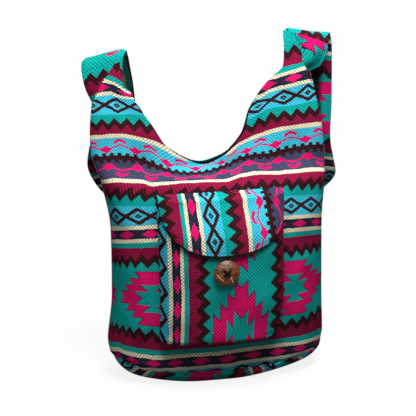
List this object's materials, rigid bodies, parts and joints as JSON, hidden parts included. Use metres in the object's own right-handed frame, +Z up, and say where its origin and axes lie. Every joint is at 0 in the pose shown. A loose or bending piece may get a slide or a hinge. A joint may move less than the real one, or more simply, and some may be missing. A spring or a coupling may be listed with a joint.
{
  "type": "crossbody bag",
  "caption": "Soft cloth crossbody bag with a scooped mouth between two horns, one wide folded strap, an oval base, and a patch pocket with a rounded flap and a round shell button.",
  "frame": {"origin": "on the floor under the middle of the base", "axes": "+Z up, the front with the pocket faces -Y, +X to the right as the front is seen"},
  "size_m": [0.3557, 0.2305, 0.467],
  "materials": {
    "banded_cloth": "matte twill weave in teal, pink, maroon, brown, navy, turquoise and cream bands",
    "dark_lining": "thin matte plain weave",
    "coconut_shell": "polished shell with dark and pale grain streaks",
    "black_thread": "waxed sewing thread and elastic cord"
  },
  "bodies": {
    "root": {"front_panel": "banded_cloth", "back_panel": "banded_cloth", "base_panel": "banded_cloth", "front_lining": "dark_lining", "back_lining": "dark_lining", "base_lining": "dark_lining", "shoulder_strap": "banded_cloth", "pocket_pouch": "banded_cloth", "flap_facing": "dark_lining", "flap_cover": "banded_cloth", "coconut_button": "coconut_shell", "button_thread": "black_thread", "button_loop": "black_thread"}
  },
  "joints": []
}
